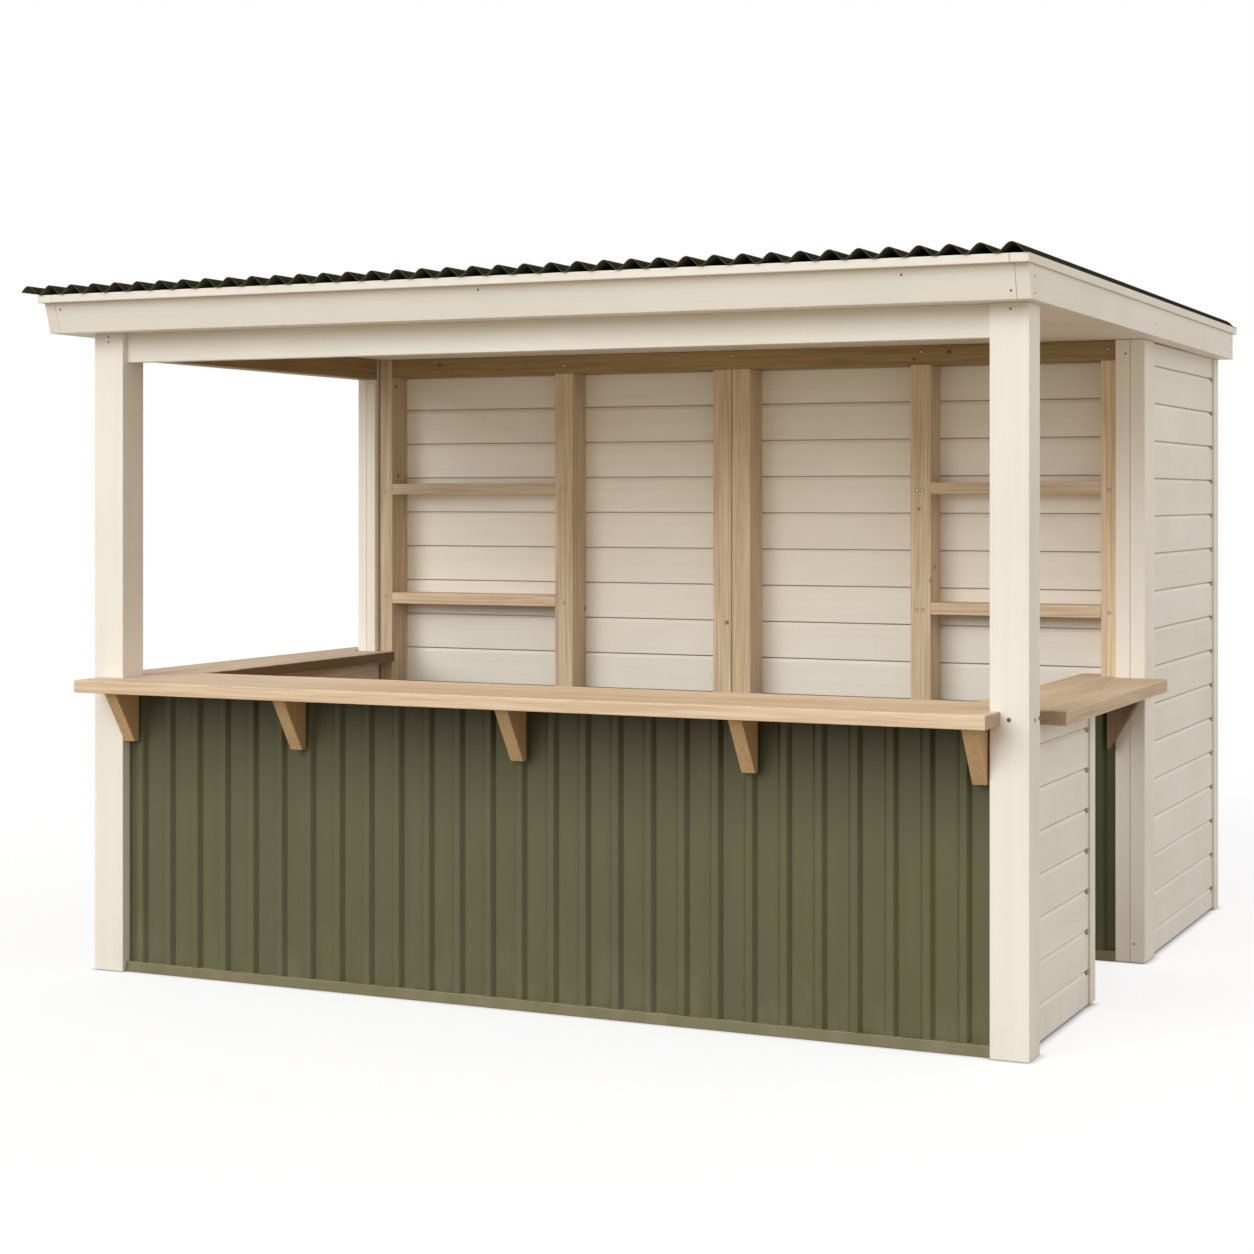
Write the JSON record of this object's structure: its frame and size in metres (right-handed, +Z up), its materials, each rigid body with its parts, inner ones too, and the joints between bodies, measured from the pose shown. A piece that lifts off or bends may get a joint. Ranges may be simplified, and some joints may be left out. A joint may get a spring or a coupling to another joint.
{
  "type": "garden bar gazebo",
  "caption": "Flat-roofed timber garden bar with counters round an open serving bay, ribbed green front, shelved back wall and a closed weatherboarded room behind.",
  "frame": {"origin": "middle of the plan, at ground level under the posts and walls", "axes": "+X to the right seen from the serving side, +Y from the serving side to the back, +Z up"},
  "size_m": [3.762, 3.3118, 2.4945],
  "materials": {
    "cream_paint": "cream paint on sawn timber, satin",
    "green_steel": "olive green coated steel sheet, matte",
    "counter_oak": "oiled pale oak boards",
    "stained_timber": "treated brown timber, bare",
    "roof_steel": "dark olive coated corrugated sheet, matte"
  },
  "bodies": {
    "root": {"front_left_post": "cream_paint", "front_right_post": "cream_paint", "front_beam": "cream_paint", "left_header": "stained_timber", "left_header_cover": "cream_paint", "front_wall": "stained_timber", "front_cladding": "green_steel", "front_flashing": "green_steel", "front_counter": "counter_oak", "left_counter": "counter_oak", "right_counter": "counter_oak", "front_brackets": "counter_oak", "right_bracket": "counter_oak", "left_low_wall": "stained_timber", "left_low_boards": "cream_paint", "right_low_wall": "stained_timber", "right_low_boards": "cream_paint", "doorway_jamb": "cream_paint", "left_corner_post": "cream_paint", "right_corner_post": "cream_paint", "back_studs": "stained_timber", "back_rail": "stained_timber", "back_boards": "cream_paint", "back_cladding": "green_steel", "back_flashing": "green_steel", "upper_left_shelf": "stained_timber", "lower_left_shelf": "stained_timber", "upper_right_shelf": "stained_timber", "lower_right_shelf": "stained_timber", "room_left_wall": "stained_timber", "room_left_boards": "cream_paint", "room_right_wall": "stained_timber", "room_right_boards": "cream_paint", "room_back_wall": "stained_timber", "room_back_boards": "cream_paint", "left_back_trim": "cream_paint", "right_back_trim": "cream_paint", "ceiling": "cream_paint", "front_fascia": "cream_paint", "left_fascia": "cream_paint", "right_fascia": "cream_paint", "back_fascia": "cream_paint", "roof_strips": "cream_paint", "roof_sheet": "roof_steel"}
  },
  "joints": []
}
